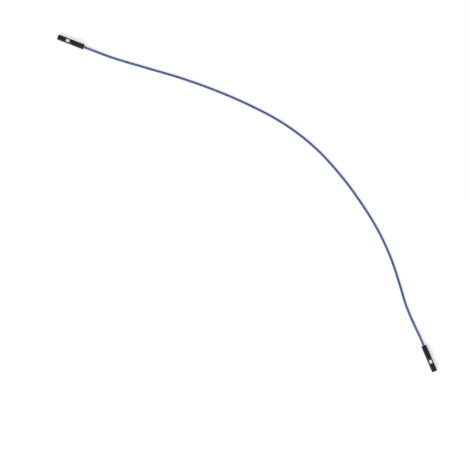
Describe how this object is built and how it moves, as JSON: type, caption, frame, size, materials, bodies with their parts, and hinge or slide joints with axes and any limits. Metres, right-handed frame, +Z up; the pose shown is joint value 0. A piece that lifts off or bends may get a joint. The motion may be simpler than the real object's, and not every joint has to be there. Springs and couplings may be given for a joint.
{
  "type": "breadboard jumper wire",
  "caption": "Flexible insulated jumper wire with a single-position female crimp connector on each end, lying in a loose bow.",
  "frame": {"origin": "on the surface that the wire rests on, under the middle of the box around the two connectors", "axes": "+X along the longer side of that box, +Y along its shorter side, +Z up, out of the latch windows"},
  "size_m": [0.1948, 0.1732, 0.0025],
  "materials": {
    "blue_pvc": "semi-gloss extruded PVC",
    "tinned_copper": "bright drawn wire",
    "black_nylon": "satin moulded nylon",
    "tin_plate": "bright tin plate"
  },
  "bodies": {
    "root": {"wire_insulation": "blue_pvc", "copper_strand_1": "tinned_copper", "copper_strand_2": "tinned_copper", "copper_strand_3": "tinned_copper", "copper_strand_4": "tinned_copper", "copper_strand_5": "tinned_copper", "copper_strand_6": "tinned_copper", "copper_strand_7": "tinned_copper", "housing_a": "black_nylon", "housing_b": "black_nylon", "crimp_terminal_a": "tin_plate", "crimp_terminal_b": "tin_plate"}
  },
  "joints": []
}
